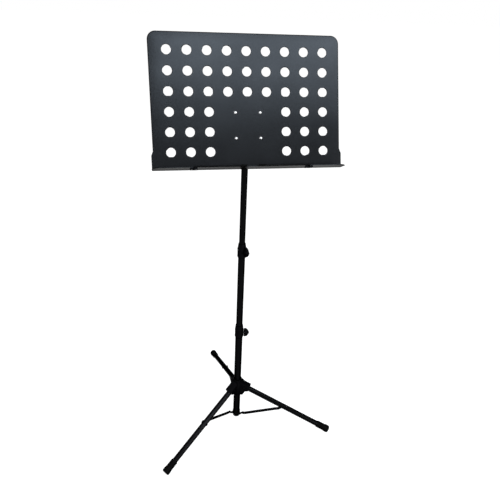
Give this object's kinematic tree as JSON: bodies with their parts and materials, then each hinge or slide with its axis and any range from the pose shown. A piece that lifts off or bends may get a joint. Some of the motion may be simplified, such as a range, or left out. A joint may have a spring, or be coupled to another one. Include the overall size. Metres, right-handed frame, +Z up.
{
  "type": "music stand",
  "caption": "Folding orchestra music stand with a perforated metal desk, telescopic post, thumb-screw clamps and a fold-up tripod base.",
  "frame": {"origin": "on the post's axis at floor level, in the middle of the post's foot", "axes": "+Z up; the desk's front faces -Y; +X to the right of someone looking at the desk's front"},
  "size_m": [0.5816, 0.5504, 1.2597],
  "materials": {
    "tube_coat": "satin black powder coat",
    "desk_coat": "satin black powder coat, slightly blue-grey in the light",
    "black_plastic": "moulded nylon, fine grain",
    "rubber": "matte",
    "steel": "zinc plated",
    "nickel": "bright nickel plate",
    "brass": "machined",
    "nylon": "natural nylon"
  },
  "bodies": {
    "base": {"lower_tube": "tube_coat", "post_cap": "rubber", "brace_collar": "tube_coat", "collar_pins": "tube_coat", "lower_clamp": "black_plastic", "lower_clamp_insert": "brass"},
    "brace_left": {"brace_left": "tube_coat"},
    "brace_right": {"brace_right": "tube_coat"},
    "brace_back": {"brace_back": "tube_coat"},
    "leg_left": {"leg_left": "tube_coat", "leg_plug_left": "black_plastic", "foot_left": "rubber", "brace_rivet_left": "tube_coat"},
    "leg_right": {"leg_right": "tube_coat", "leg_plug_right": "black_plastic", "foot_right": "rubber", "brace_rivet_right": "tube_coat"},
    "leg_back": {"leg_back": "tube_coat", "leg_plug_back": "black_plastic", "foot_back": "rubber", "brace_rivet_back": "tube_coat"},
    "hub": {"hub": "black_plastic", "hub_pins": "tube_coat"},
    "lower_knob": {"lower_knob": "black_plastic", "lower_knob_screw": "steel"},
    "middle_guide": {"middle_guide": "nylon"},
    "middle_post": {"middle_tube": "tube_coat", "upper_clamp": "black_plastic", "upper_clamp_insert": "brass"},
    "upper_knob": {"upper_knob": "black_plastic", "upper_knob_screw": "steel"},
    "upper_guide": {"upper_guide": "nylon"},
    "upper_post": {"upper_tube": "tube_coat", "tilt_head": "black_plastic", "head_rivet": "steel"},
    "desk": {"desk_bracket": "tube_coat", "tilt_bolt": "steel", "friction_washers": "nylon", "tilt_washer": "steel", "desk_panel": "desk_coat", "ledge": "desk_coat", "desk_screws": "nickel", "desk_nuts": "steel", "holder_clip_left": "black_plastic", "holder_clip_right": "black_plastic", "holder_rivets": "steel"},
    "wing_nut": {"wing_nut": "black_plastic"},
    "page_holder_left": {"page_holder_left": "tube_coat", "holder_tip_left": "rubber"},
    "page_holder_right": {"page_holder_right": "tube_coat", "holder_tip_right": "rubber"}
  },
  "joints": [
    {"name": "brace_left_fold", "type": "hinge", "parent": "base", "child": "brace_left", "pos_m": [-0.02004, -0.01617, 0.02447], "axis": [-0.628, 0.7782, 0], "range_deg": [0, 62]},
    {"name": "leg_left_fold", "type": "hinge", "parent": "brace_left", "child": "leg_left", "pos_m": [-0.12216, -0.09857, 0.08497], "axis": [-0.628, 0.7782, 0], "range_deg": [-124, 0]},
    {"name": "brace_right_fold", "type": "hinge", "parent": "base", "child": "brace_right", "pos_m": [0.02402, -0.00927, 0.02447], "axis": [-0.36, -0.933, 0], "range_deg": [0, 62]},
    {"name": "leg_right_fold", "type": "hinge", "parent": "brace_right", "child": "leg_right", "pos_m": [0.14644, -0.05651, 0.08497], "axis": [-0.36, -0.933, 0], "range_deg": [-124, 0]},
    {"name": "brace_back_fold", "type": "hinge", "parent": "base", "child": "brace_back", "pos_m": [-0.00398, 0.02544, 0.02447], "axis": [0.988, 0.1547, 0], "range_deg": [0, 62]},
    {"name": "leg_back_fold", "type": "hinge", "parent": "brace_back", "child": "leg_back", "pos_m": [-0.02429, 0.15508, 0.08497], "axis": [0.988, 0.1547, 0], "range_deg": [-124, 0]},
    {"name": "hub_slide_pin", "type": "hinge", "parent": "leg_left", "child": "hub", "pos_m": [-0.02004, -0.01617, 0.14548], "axis": [-0.628, 0.7782, 0], "range_deg": [0, 62]},
    {"name": "lower_knob_turn", "type": "hinge", "parent": "base", "child": "lower_knob", "pos_m": [0.01956, -0.00416, 0.382], "axis": [0.9781, -0.2079, 0], "continuous": true},
    {"name": "middle_slide", "type": "slide", "parent": "base", "child": "middle_guide", "axis": [0, 0, 1], "range_m": [-0.24, 0.055]},
    {"name": "middle_swivel", "type": "hinge", "parent": "middle_guide", "child": "middle_post", "pos_m": [0, 0, 0.3], "axis": [0, 0, 1], "continuous": true},
    {"name": "upper_knob_turn", "type": "hinge", "parent": "middle_post", "child": "upper_knob", "pos_m": [0.01, -0.01732, 0.687], "axis": [0.5, -0.866, 0], "continuous": true},
    {"name": "upper_slide", "type": "slide", "parent": "middle_post", "child": "upper_guide", "axis": [0, 0, 1], "range_m": [-0.265, 0.045]},
    {"name": "upper_swivel", "type": "hinge", "parent": "upper_guide", "child": "upper_post", "pos_m": [0, 0, 0.6], "axis": [0, 0, 1], "continuous": true},
    {"name": "desk_tilt", "type": "hinge", "parent": "upper_post", "child": "desk", "pos_m": [0, 0, 1.0443], "axis": [-1, 0, 0], "range_deg": [-22, 62]},
    {"name": "wing_nut_turn", "type": "hinge", "parent": "desk", "child": "wing_nut", "pos_m": [0.025, 0, 1.0443], "axis": [1, 0, 0], "continuous": true},
    {"name": "page_holder_left_swing", "type": "hinge", "parent": "desk", "child": "page_holder_left", "pos_m": [-0.141, -0.11161, 0.97647], "axis": [0, -0.8788, 0.4772], "range_deg": [0, 100]},
    {"name": "page_holder_right_swing", "type": "hinge", "parent": "desk", "child": "page_holder_right", "pos_m": [0.141, -0.11161, 0.97647], "axis": [0, 0.8788, -0.4772], "range_deg": [0, 100]}
  ],
  "couplings": [
    {"joint": "leg_left_fold", "follows": "brace_left_fold", "ratio": -2},
    {"joint": "leg_right_fold", "follows": "brace_left_fold", "ratio": -2},
    {"joint": "brace_right_fold", "follows": "brace_left_fold", "ratio": 1},
    {"joint": "leg_back_fold", "follows": "brace_left_fold", "ratio": -2},
    {"joint": "brace_back_fold", "follows": "brace_left_fold", "ratio": 1},
    {"joint": "hub_slide_pin", "follows": "brace_left_fold", "ratio": 1}
  ]
}
